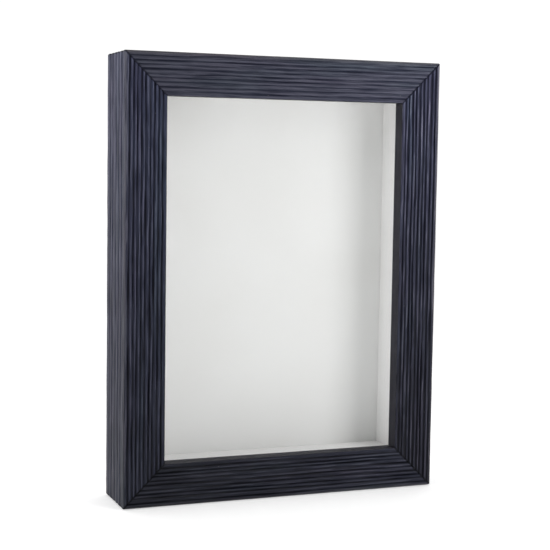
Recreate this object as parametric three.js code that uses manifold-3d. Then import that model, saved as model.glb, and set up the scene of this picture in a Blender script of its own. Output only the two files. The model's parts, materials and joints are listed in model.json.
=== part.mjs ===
// A deep shadow box: four mitred, reeded wooden rails hold a glass pane, white spacer strips,
// a white backing panel and a rear board. Turn buttons keep the board in, and two D-ring hangers
// and two bumpers let the box hang on a wall as well as stand on its bottom rail.
// Millimetres. +X is right, the front faces -Y and +Z is up. The origin is on the underside of
// the bottom rail, at the middle of its width and depth.

import * as THREE from 'three';
import { mergeVertices } from 'three/addons/utils/BufferGeometryUtils.js';
import Module from 'manifold-3d';

const wasm = await Module();
wasm.setup();

// Opening and moulding
const SIGHT_WIDTH = 203;
const SIGHT_HEIGHT = 290;
const FACE_WIDTH = 34;
const DEPTH = 54;
const LIP_DEPTH = 13;
const REBATE_WIDTH = 4.5;
const FACE_REEDS = 10;
const FACE_REED_DEPTH = 1.2;
const SIDE_REEDS = 5;
const SIDE_REED_DEPTH = 0.8;
const REED_CREST = 0.5; // flat share of each reed's pitch

// Gaps
const GAP = 0.3; // between pieces that touch
const GLASS_CLEARANCE = 1; // round the pane, panel and board, inside the rebate
const LINER_CLEARANCE = 0.5;

// Contents, from the glass to the back
const GLASS_THICKNESS = 2;
const LINER_THICKNESS = 2.5;
const PANEL_THICKNESS = 10;
const BOARD_THICKNESS = 3;
const BOARD_RECESS = 0.5;

// Screws
const SCREW_RADIUS = 1.5;
const SCREW_LENGTH = 12;
const SCREW_TIP = 4;
const SCREW_POINT_RADIUS = 0.45; // where the tip's taper turns into its blunt point
const SCREW_POINT_LENGTH = 0.6;
const SCREW_HEAD_RADIUS = 3.2;
const SCREW_HEAD_HEIGHT = 1.8;
const SCREW_HEAD_WALL = 0.65; // straight part of the head, below its dome
const SCREW_DOME = [[2.55, 1.5], [1.6, SCREW_HEAD_HEIGHT]]; // radius and height of each bend
const SLOT_WIDTH = 0.8;
const SLOT_DEPTH = 0.8;
const SLOT_TURN = Math.PI / 3;

// Turn buttons
const BUTTON_THICKNESS = 1;
const BUTTON_PIVOT_RADIUS = 6;
const BUTTON_TIP_RADIUS = 4;
const BUTTON_REACH = 18; // from the pivot to the end of the tip
const PIVOT_FROM_REBATE = 7.5;
const HARDWARE_MARGIN = 6; // between a turning button and the hanger

// D-ring hangers
const STRAP_WIDTH = 14;
const STRAP_THICKNESS = 0.8;
const STRAP_END = 4.5; // from the lower screw to the end of the strap
const STRAP_CORNER_RADIUS = 5.6;
const STRAP_SCREW_SPACING = 12;
const HANGER_FROM_TOP = 70;
const RING_WIRE_RADIUS = 1;
const RING_HALF_WIDTH = 9;
const RING_DROP = 13;

// Corner nails, driven across each mitre from the back
const NAIL_LEG = 6;
const NAIL_THICKNESS = 0.6;
const NAIL_HALF_ANGLE = Math.PI / 5;
const NAIL_HEIGHT = 10;
const NAIL_SPACING = 12;

// Bumpers
const BUMPER_RADIUS = 5.5;
const BUMPER_THICKNESS = 5;
const BUMPER_WALL = 1.75; // straight part of the side
const BUMPER_CROWN = [[4.95, 4], [3.85, BUMPER_THICKNESS]]; // radius and height of each bend
const BUMPER_FROM_MITRE = 20;

// Worked out from the sizes above
const WIDTH = SIGHT_WIDTH + 2 * FACE_WIDTH;
const HEIGHT = SIGHT_HEIGHT + 2 * FACE_WIDTH;
const FRONT = -DEPTH / 2;
const BACK = DEPTH / 2;
const BACK_FACE_MIDDLE = (REBATE_WIDTH + FACE_WIDTH) / 2; // out from the sight edge
const GLASS_FRONT = FRONT + LIP_DEPTH + GAP;
const LINER_FRONT = GLASS_FRONT + GLASS_THICKNESS + GAP;
const BOARD_FRONT = BACK - BOARD_RECESS - BOARD_THICKNESS;
const PANEL_FRONT = BOARD_FRONT - GAP - PANEL_THICKNESS;
const LINER_DEPTH = PANEL_FRONT - GAP - LINER_FRONT;
const REBATE_OPENING_WIDTH = SIGHT_WIDTH + 2 * REBATE_WIDTH;
const REBATE_OPENING_HEIGHT = SIGHT_HEIGHT + 2 * REBATE_WIDTH;
const PIVOT_OUT = REBATE_WIDTH + PIVOT_FROM_REBATE;
const EYE_BORE_RADIUS = RING_WIRE_RADIUS + GAP;
const EYE_RADIUS = EYE_BORE_RADIUS + STRAP_THICKNESS;
const RING_AXIS_Y = BACK + GAP + EYE_RADIUS;
const RING_AXIS_Z = HEIGHT - HANGER_FROM_TOP;
const STRAP_FIRST_SCREW = RING_DROP + RING_WIRE_RADIUS + SCREW_HEAD_RADIUS + GAP;
const STRAP_SCREW_DROPS = {
  upper: STRAP_FIRST_SCREW,
  lower: STRAP_FIRST_SCREW + STRAP_SCREW_SPACING,
};
const STRAP_LENGTH = STRAP_SCREW_DROPS.lower + STRAP_END;
const HOLE_RADIUS = SCREW_RADIUS + GAP;
const UPPER_BUTTON_Z = RING_AXIS_Z - STRAP_LENGTH - HARDWARE_MARGIN - BUTTON_REACH;
const CIRCLE_STEPS = 24;
const SMALL_STEPS = 12;
const WIRE_STEPS = 5; // per half turn round the ring's wire
const MERGE_DISTANCE = 1e-4;

// Materials
function material(name, color, roughness, metalness) {
  const made = new THREE.MeshStandardMaterial({ color, roughness, metalness });
  made.name = name;
  return made;
}

const stainedWood = material('stained_wood', 0x22222c, 0.6, 0);
const clearGlass = material('clear_glass', 0xf2f7f5, 0.05, 0);
clearGlass.transparent = true;
clearGlass.opacity = 0.15;
const whiteLiner = material('white_liner', 0xe9e8e5, 0.85, 0);
const whitePanel = material('white_panel', 0xe4e2de, 0.9, 0);
const hardboard = material('hardboard', 0x7a5a3c, 0.8, 0);
const zincSteel = material('zinc_steel', 0xb9bcc0, 0.35, 0.9);
const nickelWire = material('nickel_wire', 0xc9cacb, 0.2, 1);
const nailSteel = material('nail_steel', 0x777a80, 0.45, 0.9);
const softRubber = material('soft_rubber', 0x2b2b2c, 0.9, 0);

// Solids
function toSolid(geometry) {
  const bare = geometry.clone();
  bare.deleteAttribute('normal');
  bare.deleteAttribute('uv');
  const merged = mergeVertices(bare, MERGE_DISTANCE);
  const mesh = new wasm.Mesh({
    numProp: 3,
    vertProperties: new Float32Array(merged.attributes.position.array),
    triVerts: new Uint32Array(merged.index.array),
  });
  return new wasm.Manifold(mesh);
}

function toGeometry(solid) {
  const mesh = solid.getMesh();
  const geometry = new THREE.BufferGeometry();
  geometry.setAttribute('position', new THREE.BufferAttribute(mesh.vertProperties, 3));
  geometry.setIndex(new THREE.BufferAttribute(mesh.triVerts, 1));
  geometry.computeVertexNormals();
  return geometry;
}

function cutAway(geometry, cutters) {
  let solid = toSolid(geometry);
  for (const cutter of cutters) {
    solid = solid.subtract(toSolid(cutter));
  }
  return toGeometry(solid);
}

function joined(geometries) {
  const [first, ...others] = geometries.map(toSolid);
  return toGeometry(others.reduce((sum, solid) => sum.add(solid), first));
}

function namedMesh(name, geometry, meshMaterial) {
  const mesh = new THREE.Mesh(geometry, meshMaterial);
  mesh.name = name;
  return mesh;
}

// A flat outline drawn in X and Z, thickened along Y from yLow to yHigh.
function plate(outline, yLow, yHigh, steps = SMALL_STEPS) {
  const settings = { depth: yHigh - yLow, bevelEnabled: false, curveSegments: steps };
  const geometry = new THREE.ExtrudeGeometry(outline, settings);
  geometry.rotateX(Math.PI / 2);
  geometry.translate(0, yHigh, 0);
  return geometry;
}

function slab(sizeX, yLow, yHigh, sizeZ) {
  const geometry = new THREE.BoxGeometry(sizeX, yHigh - yLow, sizeZ);
  geometry.translate(0, (yLow + yHigh) / 2, 0);
  return geometry;
}

// A screw hole along Y, open at the back and a little longer than the screw in it.
function pilotHole(x, z) {
  const length = SCREW_LENGTH + 2 * GAP;
  const geometry = new THREE.CylinderGeometry(HOLE_RADIUS, HOLE_RADIUS, length, SMALL_STEPS);
  geometry.translate(x, BACK - length / 2 + GAP, z);
  return geometry;
}

// Corner nails: a V seen from the back, its point on the mitre line. grow widens it into a pocket.
function nailOutline(grow) {
  const leg = NAIL_LEG + grow;
  const half = NAIL_THICKNESS / 2 + grow;
  const along = new THREE.Vector2(-Math.cos(NAIL_HALF_ANGLE), Math.sin(NAIL_HALF_ANGLE));
  const across = new THREE.Vector2(along.y, -along.x);
  const point = half / Math.sin(NAIL_HALF_ANGLE);
  const outerTip = along.clone().multiplyScalar(leg).addScaledVector(across, half);
  const innerTip = along.clone().multiplyScalar(leg).addScaledVector(across, -half);
  const outline = new THREE.Shape();
  outline.moveTo(point, 0);
  outline.lineTo(outerTip.x, outerTip.y);
  outline.lineTo(innerTip.x, innerTip.y);
  outline.lineTo(-point, 0);
  outline.lineTo(innerTip.x, -innerTip.y);
  outline.lineTo(outerTip.x, -outerTip.y);
  outline.closePath();
  return outline;
}

// end is 1 at a rail's high-X mitre and -1 at its low-X mitre.
function cornerNail(rail, end, out, grow) {
  const geometry = plate(nailOutline(grow), BACK - GAP - NAIL_HEIGHT - grow, BACK - GAP + 2 * grow);
  geometry.rotateY(-Math.PI / 2 + (end * Math.PI) / 4);
  geometry.translate(end * (rail.sightLength / 2 + out), 0, rail.sightEdge + out);
  return geometry;
}

const NAIL_PLACES = {
  inner: BACK_FACE_MIDDLE - NAIL_SPACING / 2,
  outer: BACK_FACE_MIDDLE + NAIL_SPACING / 2,
};

// Rails. A rail is drawn as the top one: it runs along X and its outside is at high Z.
function reedPoints(from, to, count, depth, place) {
  const pitch = (to - from) / count;
  const slope = (1 - REED_CREST) / 2;
  const points = [];
  for (let reed = 0; reed < count; reed += 1) {
    const start = from + reed * pitch;
    if (reed > 0) {
      points.push(place(start, depth));
    }
    points.push(place(start + slope * pitch, 0));
    points.push(place(start + (1 - slope) * pitch, 0));
  }
  return points;
}

// The moulding's section: x is the distance out from the sight edge, y the depth from the front.
function railSection() {
  const shoulder = FACE_REED_DEPTH / 2;
  const outerShoulder = SIDE_REED_DEPTH / 2;
  const outside = FACE_WIDTH;
  const face = reedPoints(0, outside, FACE_REEDS, FACE_REED_DEPTH, (along, down) => [along, down]);
  const side = reedPoints(0, DEPTH, SIDE_REEDS, SIDE_REED_DEPTH, (along, down) => [outside - down, along]);
  const points = [
    [0, LIP_DEPTH],
    [0, shoulder],
    ...face,
    [outside - outerShoulder, shoulder],
    ...side,
    [outside - outerShoulder, DEPTH],
    [REBATE_WIDTH, DEPTH],
    [REBATE_WIDTH, LIP_DEPTH],
  ];
  return new THREE.Shape(points.map(([x, y]) => new THREE.Vector2(x, y)));
}

// A short length across the origin, whose two ends are then moved out along the mitres.
function railGeometry(rail, cutters) {
  const half = 1;
  const geometry = new THREE.ExtrudeGeometry(railSection(), { depth: 2 * half, bevelEnabled: false });
  geometry.rotateY(-Math.PI / 2);
  geometry.translate(half, FRONT, 0);
  const mitreInset = GAP / Math.SQRT2;
  const corner = geometry.attributes.position;
  for (let i = 0; i < corner.count; i += 1) {
    const out = corner.getZ(i);
    corner.setX(i, Math.sign(corner.getX(i)) * (rail.sightLength / 2 + out - mitreInset));
    corner.setZ(i, rail.sightEdge + out);
  }
  return cutAway(geometry, cutters);
}

function railCutters(rail) {
  const places = Object.values(NAIL_PLACES);
  const pockets = [-1, 1].flatMap((end) => places.map((out) => cornerNail(rail, end, out, GAP)));
  const holes = rail.buttons.map((button) => pilotHole(button.x, rail.sightEdge + PIVOT_OUT));
  const strapHoles = rail.strapScrews.map((x) => pilotHole(x, rail.sightEdge + BACK_FACE_MIDDLE));
  return [...pockets, ...holes, ...strapHoles];
}

// Screws: the head stands on seat, and the axis runs along Y.
function screwGeometry(seat) {
  const profile = [
    [0, -SCREW_LENGTH],
    [SCREW_POINT_RADIUS, -SCREW_LENGTH + SCREW_POINT_LENGTH],
    [SCREW_RADIUS, -SCREW_LENGTH + SCREW_TIP],
    [SCREW_RADIUS, 0],
    [SCREW_HEAD_RADIUS, 0],
    [SCREW_HEAD_RADIUS, SCREW_HEAD_WALL],
    ...SCREW_DOME,
    [0, SCREW_HEAD_HEIGHT],
  ];
  const points = profile.map(([r, y]) => new THREE.Vector2(r, y));
  const turned = new THREE.LatheGeometry(points, SMALL_STEPS);
  const slot = slab(3 * SCREW_HEAD_RADIUS, SCREW_HEAD_HEIGHT - SLOT_DEPTH, 2 * SCREW_HEAD_HEIGHT, SLOT_WIDTH);
  slot.rotateY(SLOT_TURN);
  const geometry = cutAway(turned, [slot]);
  geometry.translate(0, seat, 0);
  return geometry;
}

// Turn buttons: a flat plate that points to low Z from its pivot, with a pointed-oval outline.
function buttonGeometry() {
  const tipZ = -(BUTTON_REACH - BUTTON_TIP_RADIUS);
  const lean = Math.asin((BUTTON_PIVOT_RADIUS - BUTTON_TIP_RADIUS) / -tipZ);
  const outline = new THREE.Shape();
  outline.absarc(0, 0, BUTTON_PIVOT_RADIUS, -lean, Math.PI + lean, false);
  outline.absarc(0, tipZ, BUTTON_TIP_RADIUS, Math.PI + lean, 2 * Math.PI - lean, false);
  outline.closePath();
  const hole = new THREE.Path();
  hole.absarc(0, 0, HOLE_RADIUS, 0, 2 * Math.PI, true);
  outline.holes.push(hole);
  return plate(outline, BACK + GAP, BACK + GAP + BUTTON_THICKNESS);
}

function addButton(group, rail, button) {
  const pivot = new THREE.Group();
  pivot.position.set(button.x, 0, rail.sightEdge + PIVOT_OUT);
  pivot.add(namedMesh(`turn_button_${button.name}`, buttonGeometry(), zincSteel));
  const seat = BACK + BUTTON_THICKNESS + 2 * GAP;
  pivot.add(namedMesh(`turn_screw_${button.name}`, screwGeometry(seat), zincSteel));
  group.add(pivot);
}

// Spacer strips: the side pair runs the full height, the other pair fits between them.
function linerGeometry(rail) {
  const full = rail.sightLength + 2 * (REBATE_WIDTH - LINER_CLEARANCE);
  const length = rail.upright ? full : full - 2 * (LINER_THICKNESS + GAP);
  const geometry = slab(length, LINER_FRONT, LINER_FRONT + LINER_DEPTH, LINER_THICKNESS);
  geometry.translate(0, 0, rail.sightEdge + REBATE_WIDTH - LINER_CLEARANCE - LINER_THICKNESS / 2);
  return geometry;
}

function railGroup(rail) {
  const group = new THREE.Group();
  group.rotation.y = rail.turn;
  group.add(namedMesh(`rail_${rail.name}`, railGeometry(rail, railCutters(rail)), stainedWood));
  group.add(namedMesh(`liner_${rail.name}`, linerGeometry(rail), whiteLiner));
  for (const [place, out] of Object.entries(NAIL_PLACES)) {
    const name = `corner_nail_${rail.corner}_${place}`;
    group.add(namedMesh(name, cornerNail(rail, 1, out, 0), nailSteel));
  }
  for (const button of rail.buttons) {
    addButton(group, rail, button);
  }
  return group;
}

// Hangers: drawn with the ring's axis along X through the origin and the strap below it.
function strapGeometry() {
  const half = STRAP_WIDTH / 2;
  const round = STRAP_CORNER_RADIUS;
  const outline = new THREE.Shape();
  outline.moveTo(-half, 0);
  outline.lineTo(-half, -STRAP_LENGTH + round);
  outline.absarc(-half + round, -STRAP_LENGTH + round, round, Math.PI, 1.5 * Math.PI, false);
  outline.absarc(half - round, -STRAP_LENGTH + round, round, 1.5 * Math.PI, 2 * Math.PI, false);
  outline.lineTo(half, 0);
  outline.closePath();
  for (const drop of Object.values(STRAP_SCREW_DROPS)) {
    const hole = new THREE.Path();
    hole.absarc(0, -drop, HOLE_RADIUS, 0, 2 * Math.PI, true);
    outline.holes.push(hole);
  }
  const strip = plate(outline, -EYE_RADIUS, -EYE_RADIUS + STRAP_THICKNESS);
  const eye = new THREE.CylinderGeometry(EYE_RADIUS, EYE_RADIUS, STRAP_WIDTH, CIRCLE_STEPS);
  const bore = new THREE.CylinderGeometry(EYE_BORE_RADIUS, EYE_BORE_RADIUS, 2 * STRAP_WIDTH, CIRCLE_STEPS);
  eye.rotateZ(Math.PI / 2);
  bore.rotateZ(Math.PI / 2);
  return cutAway(joined([strip, eye]), [bore]);
}

// The bowed side of a D-ring: half an ellipse that hangs below the ring's straight bar.
class RingBow extends THREE.Curve {
  getPoint(t, target = new THREE.Vector3()) {
    const angle = Math.PI * t;
    return target.set(RING_HALF_WIDTH * Math.cos(angle), 0, -RING_DROP * Math.sin(angle));
  }
}

function ringGeometry() {
  const section = new THREE.Shape();
  section.absarc(0, 0, RING_WIRE_RADIUS, 0, 2 * Math.PI, false);
  const settings = {
    steps: CIRCLE_STEPS,
    curveSegments: WIRE_STEPS,
    bevelEnabled: false,
    extrudePath: new RingBow(),
  };
  const bow = new THREE.ExtrudeGeometry(section, settings);
  const length = 2 * RING_HALF_WIDTH;
  const bar = new THREE.CylinderGeometry(RING_WIRE_RADIUS, RING_WIRE_RADIUS, length, SMALL_STEPS);
  bar.rotateZ(Math.PI / 2);
  const knuckles = [-RING_HALF_WIDTH, RING_HALF_WIDTH].map((x) => {
    const ball = new THREE.SphereGeometry(RING_WIRE_RADIUS, SMALL_STEPS, SMALL_STEPS / 2);
    return ball.translate(x, 0, 0);
  });
  return joined([bow, bar, ...knuckles]);
}

function hangerGroup(side, x) {
  const group = new THREE.Group();
  group.position.set(x, RING_AXIS_Y, RING_AXIS_Z);
  group.add(namedMesh(`hanger_strap_${side}`, strapGeometry(), zincSteel));
  group.add(namedMesh(`hanger_ring_${side}`, ringGeometry(), nickelWire));
  const seat = -EYE_RADIUS + STRAP_THICKNESS + GAP;
  for (const [place, drop] of Object.entries(STRAP_SCREW_DROPS)) {
    const screw = namedMesh(`hanger_screw_${side}_${place}`, screwGeometry(seat), zincSteel);
    screw.position.z = -drop;
    group.add(screw);
  }
  return group;
}

function bumperGeometry() {
  const profile = [
    [0, 0],
    [BUMPER_RADIUS, 0],
    [BUMPER_RADIUS, BUMPER_WALL],
    ...BUMPER_CROWN,
    [0, BUMPER_THICKNESS],
  ];
  const points = profile.map(([r, y]) => new THREE.Vector2(r, y));
  return new THREE.LatheGeometry(points, CIRCLE_STEPS);
}

// The frame, about its own centre
const frameCentre = new THREE.Group();
frameCentre.position.z = HEIGHT / 2;

const sideButtonOffset = UPPER_BUTTON_Z - HEIGHT / 2;
const strapScrewOffsets = Object.values(STRAP_SCREW_DROPS).map((drop) => RING_AXIS_Z - drop - HEIGHT / 2);

const across = { sightLength: SIGHT_WIDTH, sightEdge: SIGHT_HEIGHT / 2, upright: false, strapScrews: [] };
const upright = { sightLength: SIGHT_HEIGHT, sightEdge: SIGHT_WIDTH / 2, upright: true };
const rails = [
  { ...across, name: 'top', corner: 'top_right', turn: 0, buttons: [{ name: 'top', x: 0 }] },
  {
    ...upright,
    name: 'right',
    corner: 'bottom_right',
    turn: Math.PI / 2,
    buttons: [
      { name: 'right_upper', x: -sideButtonOffset },
      { name: 'right_lower', x: sideButtonOffset },
    ],
    strapScrews: strapScrewOffsets.map((offset) => -offset),
  },
  { ...across, name: 'bottom', corner: 'bottom_left', turn: Math.PI, buttons: [{ name: 'bottom', x: 0 }] },
  {
    ...upright,
    name: 'left',
    corner: 'top_left',
    turn: -Math.PI / 2,
    buttons: [
      { name: 'left_upper', x: sideButtonOffset },
      { name: 'left_lower', x: -sideButtonOffset },
    ],
    strapScrews: strapScrewOffsets,
  },
];

for (const rail of rails) {
  frameCentre.add(railGroup(rail));
}

const paneWidth = REBATE_OPENING_WIDTH - 2 * GLASS_CLEARANCE;
const paneHeight = REBATE_OPENING_HEIGHT - 2 * GLASS_CLEARANCE;
const glass = slab(paneWidth, GLASS_FRONT, GLASS_FRONT + GLASS_THICKNESS, paneHeight);
const panel = slab(paneWidth, PANEL_FRONT, PANEL_FRONT + PANEL_THICKNESS, paneHeight);
const board = slab(paneWidth, BOARD_FRONT, BOARD_FRONT + BOARD_THICKNESS, paneHeight);
frameCentre.add(namedMesh('glass_pane', glass, clearGlass));
frameCentre.add(namedMesh('backing_panel', panel, whitePanel));
frameCentre.add(namedMesh('rear_board', board, hardboard));

// The whole object
const shadowBox = new THREE.Group();
shadowBox.add(frameCentre);

const hangerX = SIGHT_WIDTH / 2 + BACK_FACE_MIDDLE;
shadowBox.add(hangerGroup('left', -hangerX));
shadowBox.add(hangerGroup('right', hangerX));

const bumperX = WIDTH / 2 - FACE_WIDTH - BUMPER_FROM_MITRE;
for (const [side, x] of [['left', -bumperX], ['right', bumperX]]) {
  const bumper = namedMesh(`bumper_${side}`, bumperGeometry(), softRubber);
  bumper.position.set(x, BACK + GAP, FACE_WIDTH - BACK_FACE_MIDDLE);
  shadowBox.add(bumper);
}

export default shadowBox;
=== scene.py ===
import json
import math

import bmesh
import bpy
import numpy as np
from mathutils import Matrix, Vector


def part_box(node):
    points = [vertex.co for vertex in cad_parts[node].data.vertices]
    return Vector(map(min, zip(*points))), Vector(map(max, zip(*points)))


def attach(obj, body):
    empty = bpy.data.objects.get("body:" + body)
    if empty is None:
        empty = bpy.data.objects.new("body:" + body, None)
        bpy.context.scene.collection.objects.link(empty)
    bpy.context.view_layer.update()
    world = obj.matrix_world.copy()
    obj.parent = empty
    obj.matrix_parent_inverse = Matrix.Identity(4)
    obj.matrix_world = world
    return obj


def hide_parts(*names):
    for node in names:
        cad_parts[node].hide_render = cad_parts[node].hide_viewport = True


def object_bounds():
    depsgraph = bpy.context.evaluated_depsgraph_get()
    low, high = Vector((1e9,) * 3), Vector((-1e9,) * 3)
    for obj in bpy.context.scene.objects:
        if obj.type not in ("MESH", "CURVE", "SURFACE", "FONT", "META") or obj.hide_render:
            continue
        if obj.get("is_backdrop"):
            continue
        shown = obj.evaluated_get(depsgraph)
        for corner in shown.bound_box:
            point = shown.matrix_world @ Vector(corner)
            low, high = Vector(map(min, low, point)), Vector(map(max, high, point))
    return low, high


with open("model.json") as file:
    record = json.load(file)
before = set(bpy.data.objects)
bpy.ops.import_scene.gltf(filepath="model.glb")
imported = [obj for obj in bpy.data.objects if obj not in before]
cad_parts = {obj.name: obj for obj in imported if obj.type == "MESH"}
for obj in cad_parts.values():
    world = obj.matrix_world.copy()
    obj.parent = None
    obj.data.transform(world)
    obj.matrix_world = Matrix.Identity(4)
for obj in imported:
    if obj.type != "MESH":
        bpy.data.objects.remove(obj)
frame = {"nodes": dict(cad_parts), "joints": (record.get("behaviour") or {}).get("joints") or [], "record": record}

cad_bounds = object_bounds()

# ---------------------------------------------------------------- sizes, in metres
MM = 0.001
GAP = 0.3 * MM  # left between pieces that touch
FACE_REEDS = 10
FACE_REED_DEPTH = 1.2 * MM
SIDE_REEDS = 6
SIDE_REED_DEPTH = 0.8 * MM
LINER_CLEARANCE = 0.5 * MM
WIRE_RADIUS = 1.0 * MM
SCREW_RADIUS = 1.5 * MM
SCREW_LENGTH = 12 * MM
CUTTER_REACH = 1 * MM  # how far a cutter passes beyond what it cuts
SHARP_DEGREES = 35  # edges that turn more than this stay crisp
METAL_SHARP_DEGREES = 40
RAIL_SHARP_DEGREES = 50


def box(node):
    low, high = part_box(node)
    return Vector(low), Vector(high)


RAIL_LOW, RAIL_HIGH = box("rail_top")
GLASS_LOW = box("glass_pane")[0]
LINER_HIGH = box("liner_right")[1]
FRONT = RAIL_LOW.y
BACK = RAIL_HIGH.y
DEPTH = BACK - FRONT
FACE_WIDTH = RAIL_HIGH.z - RAIL_LOW.z
HEIGHT = RAIL_HIGH.z
WIDTH = 2 * box("rail_right")[1].x
SIGHT_WIDTH = WIDTH - 2 * FACE_WIDTH
SIGHT_HEIGHT = HEIGHT - 2 * FACE_WIDTH
LIP_DEPTH = GLASS_LOW.y - GAP - FRONT
REBATE_WIDTH = LINER_HIGH.x + LINER_CLEARANCE - SIGHT_WIDTH / 2
CENTRE = Vector((0, 0, HEIGHT / 2))


# ---------------------------------------------------------------- noise and meshes
def value_noise(u, v, seed):
    """Smooth noise from -1 to 1 over two coordinates whose features are about 1 wide."""
    table = np.random.default_rng(seed).uniform(-1, 1, (256, 256))
    u, v = np.broadcast_arrays(np.asarray(u, float), np.asarray(v, float))
    column, row = np.floor(u).astype(int), np.floor(v).astype(int)
    across, down = u - column, v - row
    across = across * across * (3 - 2 * across)
    down = down * down * (3 - 2 * down)
    corner = lambda i, j: table[(column + i) % 256, (row + j) % 256]
    top = corner(0, 0) * (1 - across) + corner(1, 0) * across
    bottom = corner(0, 1) * (1 - across) + corner(1, 1) * across
    return top * (1 - down) + bottom * down


def mesh_object(name, vertices, faces, sharp_degrees=SHARP_DEGREES):
    mesh = bpy.data.meshes.new(name)
    mesh.from_pydata([tuple(v) for v in vertices], [], faces)
    mesh.validate()
    obj = bpy.data.objects.new(name, mesh)
    bpy.context.scene.collection.objects.link(obj)
    finish_normals(mesh, sharp_degrees)
    return obj


def finish_normals(mesh, sharp_degrees):
    work = bmesh.new()
    work.from_mesh(mesh)
    bmesh.ops.recalc_face_normals(work, faces=work.faces)
    work.to_mesh(mesh)
    work.free()
    mesh.shade_smooth()
    mesh.set_sharp_from_angle(angle=math.radians(sharp_degrees))


def grid_faces(rows, columns, wrap_rows=False, wrap_columns=False):
    """Quads over a grid of vertices numbered row by row."""
    faces = []
    for i in range(rows if wrap_rows else rows - 1):
        for j in range(columns if wrap_columns else columns - 1):
            after_i, after_j = (i + 1) % rows, (j + 1) % columns
            here, after = i * columns, after_i * columns
            faces.append((here + j, here + after_j, after + after_j, after + j))
    return faces


def turned(name, profile, steps, axis_at):
    """A solid turned about Y from (radius, y) points that start and end on the axis."""
    inner = profile[1:-1]
    vertices = []
    for radius, y in inner:
        for step in range(steps):
            angle = 2 * math.pi * step / steps
            vertices.append((radius * math.cos(angle), y, radius * math.sin(angle)))
    faces = grid_faces(len(inner), steps, wrap_columns=True)
    for end, first in ((0, 0), (-1, (len(inner) - 1) * steps)):
        vertices.append((0, profile[end][1], 0))
        tip = len(vertices) - 1
        faces += [(tip, first + step, first + (step + 1) % steps) for step in range(steps)]
    obj = mesh_object(name, vertices, faces)
    obj.data.transform(Matrix.Translation(axis_at))
    return obj


def cut(obj, cutters, sharp_degrees):
    """Cuts the cutters' shapes out of obj, then removes them."""
    for cutter in cutters:
        modifier = obj.modifiers.new("cut", "BOOLEAN")
        modifier.operation = "DIFFERENCE"
        modifier.solver = "EXACT"
        modifier.object = cutter
    depsgraph = bpy.context.evaluated_depsgraph_get()
    result = bpy.data.meshes.new_from_object(obj.evaluated_get(depsgraph))
    obj.modifiers.clear()
    old = obj.data
    obj.data = result
    bpy.data.meshes.remove(old)
    for cutter in cutters:
        shape = cutter.data
        bpy.data.objects.remove(cutter)
        bpy.data.meshes.remove(shape)
    obj.data.set_sharp_from_angle(angle=math.radians(sharp_degrees))


def rounded_box(name, low, high, radius, segments=3):
    work = bmesh.new()
    bmesh.ops.create_cube(work, size=1)
    size = Vector(high) - Vector(low)
    middle = (Vector(high) + Vector(low)) / 2
    bmesh.ops.scale(work, vec=size, verts=work.verts)
    bmesh.ops.bevel(work, geom=work.edges, offset=radius, segments=segments, affect="EDGES", profile=0.5)
    bmesh.ops.translate(work, vec=middle, verts=work.verts)
    mesh = bpy.data.meshes.new(name)
    work.to_mesh(mesh)
    work.free()
    obj = bpy.data.objects.new(name, mesh)
    bpy.context.scene.collection.objects.link(obj)
    mesh.shade_smooth()
    mesh.set_sharp_from_angle(angle=math.radians(60))
    return obj


def cylinder(name, radius, y_low, y_high, x, z, steps=32):
    profile = [(0, y_low), (radius, y_low), (radius, y_high), (0, y_high)]
    return turned(name, profile, steps, (x, 0, z))


def stand_for(obj, node, material):
    obj.data.materials.clear()
    obj.data.materials.append(material)
    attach(obj, body_of(node))
    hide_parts(node)
    return obj


def body_of(node):
    for body, nodes in frame["record"]["behaviour"]["bodies"].items():
        if node in nodes:
            return body
    raise KeyError(node)


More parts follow.
